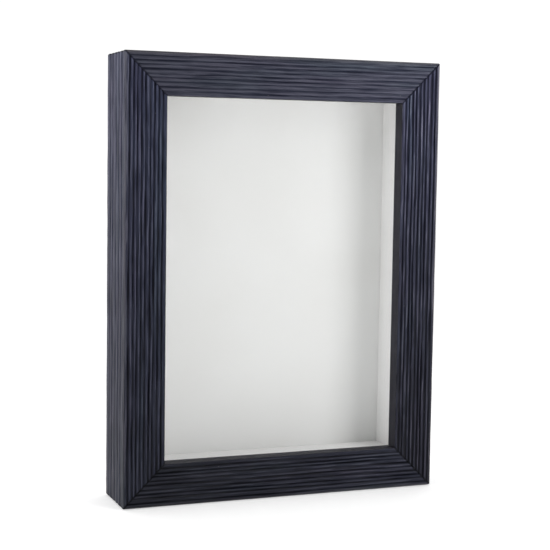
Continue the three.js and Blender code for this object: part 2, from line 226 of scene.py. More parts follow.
# ---------------------------------------------------------------- materials
class Nodes:
    """A short way to write a node tree."""

    def __init__(self, name):
        self.material = bpy.data.materials.new(name)
        self.material.use_nodes = True
        self.tree = self.material.node_tree
        self.shader = self.tree.nodes["Principled BSDF"]

    def node(self, kind, **settings):
        made = self.tree.nodes.new(kind)
        for key, value in settings.items():
            setattr(made, key, value)
        return made

    def link(self, source, target):
        self.tree.links.new(source, target)

    def put(self, target, value):
        if hasattr(value, "is_output"):
            self.link(value, target)
        else:
            target.default_value = value

    def set(self, **values):
        for key, value in values.items():
            self.put(self.shader.inputs[key.replace("_", " ")], value)

    def object_coordinates(self, scale=(1, 1, 1)):
        source = self.node("ShaderNodeTexCoord").outputs["Object"]
        return self.scaled(source, scale)

    def uv_coordinates(self, scale=(1, 1, 1)):
        source = self.node("ShaderNodeUVMap", uv_map="grain").outputs["UV"]
        return self.scaled(source, scale)

    def scaled(self, source, scale):
        mapping = self.node("ShaderNodeMapping")
        self.link(source, mapping.inputs["Vector"])
        mapping.inputs["Scale"].default_value = scale
        return mapping.outputs["Vector"]

    def noise(self, vector, scale=1.0, detail=3.0, roughness=0.55, distortion=0.0):
        texture = self.node("ShaderNodeTexNoise")
        self.link(vector, texture.inputs["Vector"])
        texture.inputs["Scale"].default_value = scale
        texture.inputs["Detail"].default_value = detail
        texture.inputs["Roughness"].default_value = roughness
        texture.inputs["Distortion"].default_value = distortion
        return texture.outputs["Fac"]

    def ramp(self, value, low, high, to_low=0.0, to_high=1.0):
        ranged = self.node("ShaderNodeMapRange")
        self.link(value, ranged.inputs["Value"])
        ranged.inputs["From Min"].default_value = low
        ranged.inputs["From Max"].default_value = high
        ranged.inputs["To Min"].default_value = to_low
        ranged.inputs["To Max"].default_value = to_high
        return ranged.outputs["Result"]

    def math(self, operation, a, b=0.0):
        made = self.node("ShaderNodeMath", operation=operation)
        self.put(made.inputs[0], a)
        self.put(made.inputs[1], b)
        return made.outputs[0]

    def mix(self, factor, a, b):
        made = self.node("ShaderNodeMix", data_type="RGBA")
        self.put(made.inputs[0], factor)
        self.put(made.inputs[6], a if hasattr(a, "is_output") else (*a, 1))
        self.put(made.inputs[7], b if hasattr(b, "is_output") else (*b, 1))
        return made.outputs[2]

    def tint(self, factor, colour, multiplier):
        made = self.node("ShaderNodeMix", data_type="RGBA", blend_type="MULTIPLY")
        self.put(made.inputs[0], factor)
        self.link(colour, made.inputs[6])
        made.inputs[7].default_value = (*multiplier, 1)
        return made.outputs[2]

    def times(self, a, b):
        made = self.node("ShaderNodeVectorMath", operation="MULTIPLY")
        self.link(a, made.inputs[0])
        self.link(b, made.inputs[1])
        return made.outputs[0]

    def attribute(self, name, output="Fac"):
        return self.node("ShaderNodeAttribute", attribute_name=name).outputs[output]

    def bump(self, height, distance, strength=1.0):
        made = self.node("ShaderNodeBump")
        self.link(height, made.inputs["Height"])
        made.inputs["Distance"].default_value = distance
        made.inputs["Strength"].default_value = strength
        self.link(made.outputs["Normal"], self.shader.inputs["Normal"])


def stained_wood():
    """Navy-black stain over combed grain, scaled by each rail's tint and painted light; low places darker, partly
    stain pooled there and partly painted shade; crests paler, partly rubbed and partly painted highlight; back
    left bare.
    """
    n = Nodes("stained_wood")
    fine = n.noise(n.uv_coordinates((45, 2600, 1)), detail=4, roughness=0.6)
    medium = n.noise(n.uv_coordinates((24, 760, 1)), detail=4, roughness=0.6)
    scored = n.noise(n.uv_coordinates((26, 1250, 1)), detail=2)
    broad = n.noise(n.uv_coordinates((6, 50, 1)), detail=2)
    other = n.noise(n.uv_coordinates((9, 70, 1)), detail=1)
    low = n.attribute("groove")
    low = n.math("ADD", low, n.math("MULTIPLY", n.math("SUBTRACT", medium, 0.5), 1.0))
    low = n.math("ADD", low, n.ramp(scored, 0.60, 0.70, 0, 0.5))
    # Crest and flank colours: the pale crest is partly rubbed wear and partly painted highlight, the darker flank
    # partly painted shade.
    crest = n.mix(n.ramp(fine, 0.35, 0.65), (0.044, 0.048, 0.074), (0.092, 0.096, 0.133))
    flank = n.mix(n.ramp(fine, 0.35, 0.65), (0.014, 0.016, 0.032), (0.028, 0.032, 0.055))
    stain = n.mix(n.ramp(low, 0.02, 0.26), crest, flank)
    # Near black in the deepest low places: pooled stain and painted shade in the grooves and furrows.
    stain = n.mix(n.ramp(low, 0.42, 0.80), stain, (0.0045, 0.0052, 0.0120))
    # The stain times the rail's tint and painted light: lighter towards the top right of the frame, darker towards
    # the bottom left.
    stain = n.times(n.attribute("tint_and_painted_light", "Vector"), stain)
    stain = n.tint(n.ramp(broad, 0.46, 0.66), stain, (1.06, 0.98, 1.01))
    stain = n.tint(n.ramp(other, 0.50, 0.68), stain, (0.93, 1.04, 0.99))
    specks = n.node("ShaderNodeTexVoronoi")
    n.link(n.uv_coordinates((130, 200, 1)), specks.inputs["Vector"])
    specks.inputs["Scale"].default_value = 1.0
    spot = n.math("MULTIPLY", n.ramp(specks.outputs["Distance"], 0.07, 0.03), n.ramp(medium, 0.62, 0.66))
    stain = n.mix(spot, stain, (0.30, 0.28, 0.26))
    lip = n.mix(n.ramp(fine, 0.3, 0.7), (0.013, 0.0125, 0.018), (0.026, 0.025, 0.034))
    stain = n.mix(n.attribute("lip"), stain, lip)
    rings = n.noise(n.uv_coordinates((7, 170, 1)), detail=4, distortion=0.4)
    pine = n.mix(n.ramp(rings, 0.35, 0.65), (0.52, 0.36, 0.20), (0.36, 0.22, 0.11))
    pine = n.mix(n.ramp(fine, 0.3, 0.7, 0, 0.35), pine, (0.30, 0.19, 0.10))
    ragged = n.math("ADD", n.attribute("raw"), n.math("MULTIPLY", n.math("SUBTRACT", medium, 0.5), 0.5))
    colour = n.mix(n.ramp(ragged, 0.45, 0.6), stain, pine)
    n.set(Base_Color=colour, Roughness=n.ramp(medium, 0.3, 0.7, 0.46, 0.66), Specular_IOR_Level=0.18)
    n.bump(n.math("ADD", fine, n.math("MULTIPLY", medium, 0.5)), 0.12 * MM, 0.7)
    return n.material


def white_card(name, colour, shade):
    """Paper-faced board: fine fibre mottling and a soft tooth."""
    n = Nodes(name)
    fibre = n.noise(n.object_coordinates((900, 900, 900)), detail=3)
    cloud = n.noise(n.object_coordinates((14, 14, 14)), detail=2)
    paper = n.mix(n.ramp(cloud, 0.35, 0.65, 0, 0.5), colour, shade)
    paper = n.mix(n.ramp(fibre, 0.55, 0.75, 0, 0.25), paper, shade)
    n.set(Base_Color=paper, Roughness=n.ramp(fibre, 0.3, 0.7, 0.78, 0.92), Specular_IOR_Level=0.3)
    n.bump(fibre, 0.03 * MM, 0.25)
    return n.material


def clear_glass():
    """Float glass: nearly invisible face on, with a faint film of dust that catches the light."""
    n = Nodes("clear_glass")
    film = n.noise(n.object_coordinates((9, 9, 9)), detail=2)
    n.set(Base_Color=(0.90, 0.96, 0.94, 1), Alpha=0.05, IOR=1.5)
    n.set(Roughness=n.ramp(film, 0.3, 0.7, 0.03, 0.07))
    return n.material


def hardboard():
    n = Nodes("hardboard")
    fibre = n.noise(n.object_coordinates((1500, 1500, 1500)), detail=4)
    flecks = n.noise(n.object_coordinates((260, 260, 260)), detail=3, roughness=0.7)
    cloud = n.noise(n.object_coordinates((11, 11, 11)), detail=3)
    brown = n.mix(n.ramp(fibre, 0.35, 0.65), (0.145, 0.075, 0.036), (0.235, 0.135, 0.070))
    brown = n.mix(n.ramp(flecks, 0.58, 0.72, 0, 0.8), brown, (0.33, 0.21, 0.12))
    brown = n.mix(n.ramp(cloud, 0.4, 0.7, 0, 0.35), brown, (0.12, 0.065, 0.034))
    n.set(Base_Color=brown, Roughness=n.ramp(fibre, 0.3, 0.7, 0.55, 0.78))
    n.bump(n.math("ADD", fibre, flecks), 0.08 * MM, 0.6)
    return n.material


def plated(name, bright, dull, roughness, metallic=1.0):
    """Plated steel: uneven passivation, fine scratches and a few dull spots."""
    n = Nodes(name)
    scratch = n.noise(n.object_coordinates((9000, 700, 900)), detail=2)
    cloud = n.noise(n.object_coordinates((220, 220, 220)), detail=3)
    colour = n.mix(n.ramp(cloud, 0.35, 0.7), bright, dull)
    n.set(Base_Color=colour, Metallic=metallic)
    spread = n.math("ADD", n.ramp(cloud, 0.3, 0.7, -0.06, 0.08), n.ramp(scratch, 0.3, 0.7, 0, 0.08))
    n.set(Roughness=n.math("ADD", spread, roughness))
    n.bump(scratch, 0.015 * MM, 0.5)
    return n.material


def rubber():
    n = Nodes("soft_rubber")
    grain = n.noise(n.object_coordinates((2500, 2500, 2500)), detail=2)
    dust = n.noise(n.object_coordinates((160, 160, 160)), detail=3)
    colour = n.mix(n.ramp(dust, 0.45, 0.75, 0, 0.6), (0.018, 0.018, 0.019), (0.060, 0.058, 0.055))
    n.set(Base_Color=colour, Roughness=n.ramp(grain, 0.3, 0.7, 0.7, 0.9))
    n.bump(grain, 0.04 * MM, 0.6)
    return n.material


WOOD = stained_wood()
LINER_CARD = white_card("white_liner", (0.86, 0.855, 0.85), (0.80, 0.79, 0.78))
PANEL_CARD = white_card("white_panel", (0.80, 0.797, 0.79), (0.755, 0.748, 0.735))
GLASS = clear_glass()
BOARD = hardboard()
ZINC = plated("zinc_steel", (0.60, 0.61, 0.62), (0.44, 0.45, 0.46), 0.34)
NICKEL = plated("nickel_wire", (0.72, 0.69, 0.64), (0.58, 0.56, 0.52), 0.20)
NAIL_STEEL = plated("nail_steel", (0.34, 0.34, 0.35), (0.20, 0.19, 0.18), 0.42)
RUBBER = rubber()

# ---------------------------------------------------------------- rails
# Grid
FACE_STEPS = 12  # per reed
SIDE_STEPS = 16
ALONG_STEP = 1.1 * MM
END_ROWS = (0.12, 0.3, 0.6)  # extra rows near each mitre, mm from it
MITRE_INSET = GAP / math.sqrt(2)

# Shape of the reeds
SHOULDER = 0.25 * MM  # how far the two long arrises of the face are eased
MITRE_EASE = 0.22 * MM  # how far the surface sinks at a mitre, and how far from it
MITRE_EASE_WIDTH = 0.3 * MM
GROOVE_SHIFT = 0.13  # furthest a groove lies off even spacing, as a share of the pitch
FACE_SWAY = 0.085  # how far a groove wanders along the rail, as a share of the pitch
SIDE_SWAY = 0.10
QUICK_SWAY_SHARE = 0.4
FACE_ROUNDNESS = 1.5  # higher makes flatter crests and narrower grooves
SIDE_ROUNDNESS = 3.0
CREST_PLACE = 0.42  # where a crest lies between its grooves, and how far it drifts
CREST_DRIFT = 0.16
GROOVE_DEPTH = (0.84, 0.26, 0.16)  # shares of the full depth: steady, long swell, short swell
FACE_FURROW = 0.38 * MM  # depth of the deepest combed furrow
SIDE_FURROW = 0.24 * MM

# Lengths along the rail over which the reeds change
SLOW_SWAY_LENGTH = 48 * MM
QUICK_SWAY_LENGTH = 14 * MM
CREST_DRIFT_LENGTH = 38 * MM
LONG_SWELL_LENGTH = 36 * MM
SHORT_SWELL_LENGTH = 11 * MM

# How dark the stain lies, from 0 on a crest to 1 in the deepest groove; in the grooves and furrows this is partly
# pooled stain and partly painted shade
MITRE_SHADE = 0.9
MITRE_SHADE_WIDTH = 0.6 * MM
FACE_FURROW_SHADE = 0.32
SIDE_SHADE = 0.02
SIDE_GROOVE_SHADE = 0.42
SIDE_FURROW_SHADE = 0.36
GRIME_SHADE = 0.30  # along the sight edge
GRIME_WIDTH = 1.6 * MM
WORN_SHADE = 0.35  # taken away along the outer arris
WORN_WIDTH = 0.8 * MM

# Change of red, green and blue round the outer arris and on the outer side
ARRIS_WARMTH = np.array((0.14, 0.06, -0.14))
ARRIS_WIDTH = 2.4 * MM
ARRIS_DEPTH = 3 * MM
SIDE_WARMTH = np.array((0.00, -0.06, -0.04))
SIDE_START = 1 * MM

FIRST_SEED = 11
SEED_STEP = 40  # more than the seeds that one rail uses
# Each rail: turn about Y, sight length, sight size across, painted light at its two ends (stain lighter towards
# the top right of the frame, darker towards the bottom left), tint of the stain, and how strongly its low places
# differ from its crests, partly real and partly painted shade that differs by rail.
RAILS = {
    "top": (0, SIGHT_WIDTH, SIGHT_HEIGHT, (0.70, 1.12), (1.00, 0.98, 0.98), 0.28),
    "right": (math.pi / 2, SIGHT_HEIGHT, SIGHT_WIDTH, (2.45, 0.60), (1.02, 0.98, 0.96), 1.60),
    "bottom": (math.pi, SIGHT_WIDTH, SIGHT_HEIGHT, (0.64, 0.31), (1.00, 0.98, 1.01), 0.95),
    "left": (-math.pi / 2, SIGHT_HEIGHT, SIGHT_WIDTH, (0.48, 1.24), (0.98, 1.00, 1.07), 1.05),
}


def reed_lines(count, start, end, along, seed, sway):
    """Where each groove runs: near even spacing, swaying a little; the first and last stay put."""
    pitch = (end - start) / count
    shifts = np.random.default_rng(seed + 3).uniform(-GROOVE_SHIFT, GROOVE_SHIFT, count + 1)
    lines = []
    for k in range(count + 1):
        line = np.full_like(along, start + k * pitch)
        if 0 < k < count:
            slow = value_noise(along / SLOW_SWAY_LENGTH, k * 0.55, seed)
            quick = value_noise(along / QUICK_SWAY_LENGTH, k * 1.7, seed + 1)
            line = line + pitch * (shifts[k] + sway * (slow + QUICK_SWAY_SHARE * quick))
        lines.append(line)
    return lines


def reeded_track(count, steps, start, end, along, depth, seed, sway, roundness):
    """For each grid point across a reeded face: its place across, its sinkage and how low it lies."""
    lines = reed_lines(count, start, end, along[:, 0], seed, sway)
    steady, long_share, short_share = GROOVE_DEPTH
    places, sinks, lows = [], [], []
    for k in range(count):
        drift = value_noise(along[:, 0] / CREST_DRIFT_LENGTH, k * 3.1, seed + 4)
        crest = CREST_PLACE + CREST_DRIFT * drift
        for step in range(steps + (k == count - 1)):
            t = 0.5 - 0.5 * math.cos(math.pi * step / steps)
            fall = np.where(t < crest, (crest - t) / crest, (t - crest) / (1 - crest))
            at_end = (k == 0 and step < steps / 2) or (k == count - 1 and step > steps / 2)
            groove = k if step < steps / 2 else k + 1
            long_swell = value_noise(along[:, 0] / LONG_SWELL_LENGTH, groove * 2.3, seed + 2)
            short_swell = value_noise(along[:, 0] / SHORT_SWELL_LENGTH, groove * 4.1, seed + 6)
            deep = depth * (steady + long_share * long_swell + short_share * short_swell)
            if at_end:
                deep = np.full_like(deep, SHOULDER)
            places.append(lines[k] * (1 - t) + lines[k + 1] * t)
            sinks.append(deep * fall**roundness)
            lows.append(np.zeros_like(deep) if at_end else sinks[-1] / depth)
    return np.stack(places, 1), np.stack(sinks, 1), np.stack(lows, 1)


def combing(along, place, seed):
    """Fine furrows left by a wire brush, wandering along the grain, from 0 to 1."""
    drift = place + 0.6 * MM * value_noise(along / (34 * MM), place / (9 * MM), seed)
    coarse = value_noise(along / (19 * MM), drift / (0.95 * MM), seed + 1)
    fine = value_noise(along / (8 * MM), drift / (0.5 * MM), seed + 2)
    return np.clip(0.30 + 0.80 * coarse + 0.35 * fine, 0, 1)


def worn_edge(distance):
    """How far an edge is rubbed pale, by the distance from it."""
    return WORN_SHADE * np.exp(-((distance / WORN_WIDTH) ** 2))


def rail_grid(sight_length, seed):
    """The moulding's surface as a grid: rows along the rail, columns round its section."""
    reach = sight_length / 2 + FACE_WIDTH / 2
    rows = int(round(2 * reach / ALONG_STEP)) + 1
    ends = np.array(END_ROWS) * MM / reach
    share = np.unique(np.concatenate([np.linspace(-1, 1, rows), 1 - ends, ends - 1]))[:, None]
    along = share * reach
    from_mitre = (1 - np.abs(share)) * reach
    eased = MITRE_EASE * np.exp(-((from_mitre / MITRE_EASE_WIDTH) ** 2))
    shaded = MITRE_SHADE * np.exp(-((from_mitre / MITRE_SHADE_WIDTH) ** 2))
    face_end = FACE_WIDTH - SHOULDER
    place, sink, low = reeded_track(
        FACE_REEDS, FACE_STEPS, 0, face_end, along, FACE_REED_DEPTH, seed, FACE_SWAY, FACE_ROUNDNESS)
    furrow = combing(along, place, seed + 5)
    sink = sink + FACE_FURROW * furrow
    grime = GRIME_SHADE * np.exp(-((place / GRIME_WIDTH) ** 2))
    low = low + FACE_FURROW_SHADE * furrow + shaded + grime - worn_edge(face_end - place)
    low = np.clip(low, 0, 1)
    columns = [np.stack([place, sink + eased], 2)]
    marks = [np.stack([low, np.zeros_like(low), np.zeros_like(low)], 2)]

    place, sink, low = reeded_track(
        SIDE_REEDS, SIDE_STEPS, SHOULDER, DEPTH, along, SIDE_REED_DEPTH, seed + 20,
        SIDE_SWAY, SIDE_ROUNDNESS)
    furrow = combing(along, place, seed + 25)
    sink = sink + SIDE_FURROW * furrow
    low = SIDE_SHADE + SIDE_GROOVE_SHADE * low + SIDE_FURROW_SHADE * furrow + shaded
    low = np.clip(low - worn_edge(place - SHOULDER), 0, 1)
    columns.append(np.stack([FACE_WIDTH - sink - eased, place], 2)[:, 1:])
    raw = np.where(place > DEPTH - 0.2 * MM, 0.5, 0.0)
    marks.append(np.stack([low, np.zeros_like(low), raw], 2)[:, 1:])

    for points, lip, raw in (
        (straight((FACE_WIDTH - 1.5 * MM, DEPTH), (REBATE_WIDTH, DEPTH), 24), 0, 1),
        (straight((REBATE_WIDTH, DEPTH - 2 * MM), (REBATE_WIDTH, LIP_DEPTH), 6), 0, 1),
        (straight((REBATE_WIDTH - 1 * MM, LIP_DEPTH), (0, LIP_DEPTH), 3), 1, 0),
        (straight((0, LIP_DEPTH - 0.5 * MM), (0, SHOULDER + 0.2 * MM), 10), 1, 0),
    ):
        section = np.broadcast_to(np.array(points)[None], (len(share), len(points), 2)).copy()
        tint = np.broadcast_to(np.array([0.0, lip, raw]), (len(share), len(points), 3)).copy()
        columns.append(section)
        marks.append(tint)
    return share, np.concatenate(columns, 1), np.concatenate(marks, 1)


def straight(start, end, steps):
    return [tuple(a + (b - a) * k / steps for a, b in zip(start, end)) for k in range(steps + 1)]


def rail_object(side, seed):
    turn, sight_length, sight_across, painted_light_ends, tint, painted_shade_contrast = RAILS[side]
    share, section, marks = rail_grid(sight_length, seed)
    # Painted shade: each rail's own contrast between low places and crests makes the upright rails' reeds stronger
    # and the top rail's weaker, as the side light shaded them.
    marks[..., 0] = np.clip(marks[..., 0] * painted_shade_contrast, 0, 1)
    out, deep = section[..., 0], section[..., 1]
    along = share * (sight_length / 2 + out - MITRE_INSET)
    rows, columns = out.shape
    points = np.stack([along, FRONT + deep, sight_across / 2 + out], -1).reshape(-1, 3)
    faces = grid_faces(rows, columns, wrap_columns=True)
    faces.append(tuple(range(columns)))
    faces.append(tuple((rows - 1) * columns + k for k in reversed(range(columns))))
    obj = mesh_object(f"visual_rail_{side}", points, faces, RAIL_SHARP_DEGREES)
    mesh = obj.data
    for channel, name in enumerate(("groove", "lip", "raw")):
        layer = mesh.attributes.new(name, "FLOAT", "POINT")
        layer.data.foreach_set("value", marks[..., channel].astype(np.float32).ravel())
    # Tint and arris warmth times painted light: the stain scaled from one end of the rail to the other, lighter
    # towards the top right of the frame and darker towards the bottom left.
    tint_and_painted_light = mesh.attributes.new("tint_and_painted_light", "FLOAT_VECTOR", "POINT")
    strength = painted_light_ends[0] * (painted_light_ends[1] / painted_light_ends[0]) ** ((share + 1) / 2) + 0 * out
    arris = np.exp(-(((FACE_WIDTH - out) / ARRIS_WIDTH) ** 2) - (deep / ARRIS_DEPTH) ** 2)
    aside = np.clip((deep - SIDE_START) / ARRIS_DEPTH, 0, 1)
    warmth = 1 + arris[..., None] * ARRIS_WARMTH + aside[..., None] * SIDE_WARMTH
    colours = strength[..., None] * np.array(tint) * warmth
    tint_and_painted_light.data.foreach_set("vector", colours.astype(np.float32).ravel())
    girth = np.zeros((rows, columns))
    step = np.linalg.norm(np.diff(section, axis=1), axis=2).mean(0)
    girth[:, 1:] = np.cumsum(step)[None]
    grain = np.stack([along + seed, girth + 0.1 * seed], -1).reshape(-1, 2)
    uv = mesh.uv_layers.new(name="grain")
    index = np.empty(len(mesh.loops), int)
    mesh.loops.foreach_get("vertex_index", index)
    uv.data.foreach_set("uv", grain[index].astype(np.float32).ravel())
    mesh.transform(Matrix.Translation(CENTRE) @ Matrix.Rotation(turn, 4, "Y"))
    return obj


# ---------------------------------------------------------------- corner nails and their pockets
NAIL_LEG = 6.0 * MM
NAIL_THICKNESS = 0.6 * MM
NAIL_HALF_ANGLE = math.pi / 5


def outward(point):
    """Unit vector from the frame's middle towards the corner that a point is near."""
    return Vector((math.copysign(1, point.x), 0, math.copysign(1, point.z - CENTRE.z))).normalized()


def nail_pocket(node):
    """A V-shaped slot round a corner nail, open at the back, as a cutter."""
    low, high = box(node)
    ahead = outward((low + high) / 2)
    side = Vector((-ahead.z, 0, ahead.x))
    corners = [v.co for v in frame["nodes"][node].data.vertices]
    apex = max(corners, key=lambda co: co.dot(ahead)).copy()
    half = NAIL_THICKNESS / 2 + GAP
    leg = NAIL_LEG + GAP
    spine = apex - ahead * (NAIL_THICKNESS / 2 / math.sin(NAIL_HALF_ANGLE))
    outline = [spine + ahead * (half / math.sin(NAIL_HALF_ANGLE))]
    for hand in (1, -1):
        along = -ahead * math.cos(NAIL_HALF_ANGLE) + side * hand * math.sin(NAIL_HALF_ANGLE)
        across = ahead * math.sin(NAIL_HALF_ANGLE) + side * hand * math.cos(NAIL_HALF_ANGLE)
        tips = [spine + along * leg + across * half, spine + along * leg - across * half]
        outline += tips if hand == 1 else tips[::-1]
        if hand == 1:
            outline.append(spine - ahead * (half / math.sin(NAIL_HALF_ANGLE)))
    return prism(f"pocket_{node}", outline, low.y - GAP, BACK + CUTTER_REACH)


def prism(name, outline, y_low, y_high):
    """A solid with a flat outline in X and Z between two depths."""
    count = len(outline)
    vertices = [(p.x, y_low, p.z) for p in outline] + [(p.x, y_high, p.z) for p in outline]
    faces = [(k, (k + 1) % count, count + (k + 1) % count, count + k) for k in range(count)]
    faces += [tuple(range(count)), tuple(reversed(range(count, 2 * count)))]
    return mesh_object(name, vertices, faces)


def screw_hole(node):
    """The drilled hole that a screw goes into, as a cutter."""
    low, high = box(node)
    middle = (low + high) / 2
    return cylinder(
        f"hole_{node}", SCREW_RADIUS + GAP, low.y - GAP, BACK + CUTTER_REACH, middle.x, middle.z, 24)


def meets(node, side):
    """Whether a node's box reaches into the box of the rail on that side."""
    low, high = box(node)
    rail_low, rail_high = box(f"rail_{side}")
    return all(high[k] > rail_low[k] and low[k] < rail_high[k] for k in range(3))


def add_rails():
    nails = [node for node in frame["nodes"] if node.startswith("corner_nail")]
    screws = [node for node in frame["nodes"] if "_screw_" in node]
    for number, side in enumerate(RAILS):
        rail = rail_object(side, FIRST_SEED + SEED_STEP * number)
        cutters = [nail_pocket(node) for node in nails if meets(node, side)]
        cutters += [screw_hole(node) for node in screws if meets(node, side)]
        cut(rail, cutters, RAIL_SHARP_DEGREES)
        stand_for(rail, f"rail_{side}", WOOD)
    for node in nails:
        dress(node, NAIL_STEEL)


def dress(node, material):
    """Gives a CAD node that stays in view its detailed material."""
    mesh = frame["nodes"][node].data
    mesh.materials.clear()
    mesh.materials.append(material)


# ---------------------------------------------------------------- glass, card and board
GLASS_EDGE = 0.3 * MM
PANEL_EDGE = 0.4 * MM
BOARD_EDGE = 0.35 * MM
LINER_EDGE = 0.25 * MM
LINER_REACH = 0.93 * GAP  # takes the strips back almost to the panel, so that no light shows


def add_panel(node, radius, material):
    low, high = box(node)
    stand_for(rounded_box(f"visual_{node}", low, high, radius), node, material)


def add_contents():
    add_panel("glass_pane", GLASS_EDGE, GLASS)
    add_panel("backing_panel", PANEL_EDGE, PANEL_CARD)
    add_panel("rear_board", BOARD_EDGE, BOARD)
    for side in RAILS:
        node = f"liner_{side}"
        low, high = box(node)
        high.y += LINER_REACH
        liner = rounded_box(f"visual_{node}", low, high, LINER_EDGE)
        stand_for(liner, node, LINER_CARD)


# ---------------------------------------------------------------- screws
THREAD_PITCH = 1.1 * MM
THREAD_ROWS = 80
THREAD_STEPS = 24
THREAD_CORE = 0.68
THREAD_SHARPNESS = 3.2
THREAD_RUN_IN = 0.6 * MM
PLAIN_SHANK = 1.6 * MM
TIP_LENGTH = 4.0 * MM
SLOT_WIDTH = 0.8 * MM
SLOT_DEPTH = 0.8 * MM
SLOT_EDGE = 0.08 * MM
SPIN_SEED = 7


def threaded_screw(name, node, spin):
    """A pan-head screw with a rolled thread and a driver slot, in place of a CAD screw."""
    low, high = box(node)
    middle = (low + high) / 2
    head_radius = (high.x - low.x) / 2
    seat = low.y + SCREW_LENGTH
    head = high.y - seat
    rows = []
    for row in range(THREAD_ROWS + 1):
        down = row / THREAD_ROWS * SCREW_LENGTH
        taper = min(1.0, max(0.04, (SCREW_LENGTH - down) / TIP_LENGTH)) ** 0.6
        threaded = min(1.0, max(0.0, (down - PLAIN_SHANK) / THREAD_RUN_IN))
        ring = []
        for step in range(THREAD_STEPS):
            angle = 2 * math.pi * step / THREAD_STEPS
            turn = (down / THREAD_PITCH + step / THREAD_STEPS) % 1
            ridge = max(0.0, 1 - abs(turn - 0.5) * THREAD_SHARPNESS)
            share = 1 - threaded * (1 - THREAD_CORE) * (1 - ridge)
            radius = 0.98 * SCREW_RADIUS * taper * share
            ring.append((radius * math.cos(angle), seat - down, radius * math.sin(angle)))
        rows.append(ring)
    rows.reverse()
    under = [(SCREW_RADIUS * 1.02, 0.0), (head_radius * 0.93, 0.0), (head_radius * 0.99, 0.05 * head)]
    dome = [
        (head_radius * math.cos(a) ** 0.55, head * (0.22 + 0.78 * math.sin(a)))
        for a in np.linspace(0, 1.35, 9)
    ]
    angles = [2 * math.pi * k / THREAD_STEPS for k in range(THREAD_STEPS)]
    for radius, rise in under + dome:
        rows.append([(radius * math.cos(a), seat + rise, radius * math.sin(a)) for a in angles])
    vertices = [point for ring in rows for point in ring]
    faces = grid_faces(len(rows), THREAD_STEPS, wrap_columns=True)
    vertices += [(0, low.y, 0), (0, high.y, 0)]
    last = (len(rows) - 1) * THREAD_STEPS
    for step in range(THREAD_STEPS):
        after = (step + 1) % THREAD_STEPS
        faces.append((step, after, len(vertices) - 2))
        faces.append((last + step, last + after, len(vertices) - 1))
    screw = mesh_object(name, vertices, faces, METAL_SHARP_DEGREES)
    reach = 1.5 * head_radius
    slot_low = (-reach, high.y - SLOT_DEPTH, -SLOT_WIDTH / 2)
    slot_high = (reach, high.y + CUTTER_REACH, SLOT_WIDTH / 2)
    slot = rounded_box("slot", slot_low, slot_high, SLOT_EDGE)
    slot.data.transform(Matrix.Rotation(spin, 4, "Y"))
    cut(screw, [slot], METAL_SHARP_DEGREES)
    screw.data.transform(Matrix.Translation((middle.x, 0, middle.z)))
    return screw


def add_screws():
    spins = np.random.default_rng(SPIN_SEED).uniform(0, math.pi, 16)
    nodes = sorted(node for node in frame["nodes"] if "_screw_" in node)
    for node, spin in zip(nodes, spins):
        stand_for(threaded_screw(f"visual_{node}", node, float(spin)), node, ZINC)


# ---------------------------------------------------------------- turn buttons
BUTTON_STEPS = 96
BUTTON_RINGS = 14
BUTTON_TIP = 4.0 * MM
BUTTON_EDGE = 0.16 * MM
BUTTON_SHEET = 0.72 * MM  # the pressed rib takes the plate to its full thickness
RIB_HALF_WIDTH = 1.9 * MM
RIB_FROM_PIVOT_EDGE = 0.4 * MM
RIB_FROM_TIP = 2.6 * MM


def button_reach(angle, pivot_radius, tip_distance):
    """The outline's distance from the pivot, angle measured from the pointing direction."""
    angle = abs(angle)
    tangent = math.acos((pivot_radius - BUTTON_TIP) / tip_distance)
    tip_touch = math.atan2(BUTTON_TIP * math.sin(tangent), tip_distance + BUTTON_TIP * math.cos(tangent))
    if angle >= tangent:
        return pivot_radius
    if angle >= tip_touch:
        return pivot_radius / math.cos(angle - tangent)
    rise = tip_distance * math.sin(angle)
    return tip_distance * math.cos(angle) + math.sqrt(max(0.0, BUTTON_TIP**2 - rise**2))


def turn_button(name, node, joint):
    low, high = box(node)
    pivot = Vector(joint["pos_m"])
    ahead = (low + high) / 2 - pivot
    ahead = Vector((ahead.x, 0, ahead.z)).normalized()
    side = Vector((-ahead.z, 0, ahead.x))
    spans = [abs((corner - pivot).dot(ahead)) for corner in (low, high)]
    pivot_radius, reach = min(spans), max(spans)
    tip_distance = reach - BUTTON_TIP
    hole = SCREW_RADIUS + GAP
    thickness = high.y - low.y
    rib_start, rib_end = pivot_radius + RIB_FROM_PIVOT_EDGE, reach - RIB_FROM_TIP
    vertices = []
    for step in range(BUTTON_STEPS):
        angle = -math.pi + 2 * math.pi * step / BUTTON_STEPS
        edge = button_reach(angle, pivot_radius, tip_distance)
        section = [(hole, BUTTON_EDGE), (hole, BUTTON_SHEET - 1.6 * BUTTON_EDGE)]
        for ring in range(BUTTON_RINGS + 1):
            radius = hole + BUTTON_EDGE + (edge - hole - 2 * BUTTON_EDGE) * ring / BUTTON_RINGS
            along, across = radius * math.cos(angle), radius * math.sin(angle)
            beyond = max(rib_start - along, along - rib_end, 0)
            aside = math.hypot(beyond, across) / RIB_HALF_WIDTH
            rib = (thickness - BUTTON_SHEET) * max(0.0, 1 - aside**2) ** 0.8
            section.append((radius, BUTTON_SHEET + rib))
        section += [(edge, BUTTON_SHEET - BUTTON_EDGE), (edge, BUTTON_EDGE), (edge - BUTTON_EDGE, 0)]
        section += [(hole + BUTTON_EDGE, 0)]
        for radius, rise in section:
            flat = ahead * (radius * math.cos(angle)) + side * (radius * math.sin(angle))
            vertices.append((pivot.x + flat.x, low.y + rise, pivot.z + flat.z))
    columns = len(vertices) // BUTTON_STEPS
    faces = grid_faces(BUTTON_STEPS, columns, wrap_rows=True, wrap_columns=True)
    return mesh_object(name, vertices, faces, METAL_SHARP_DEGREES)


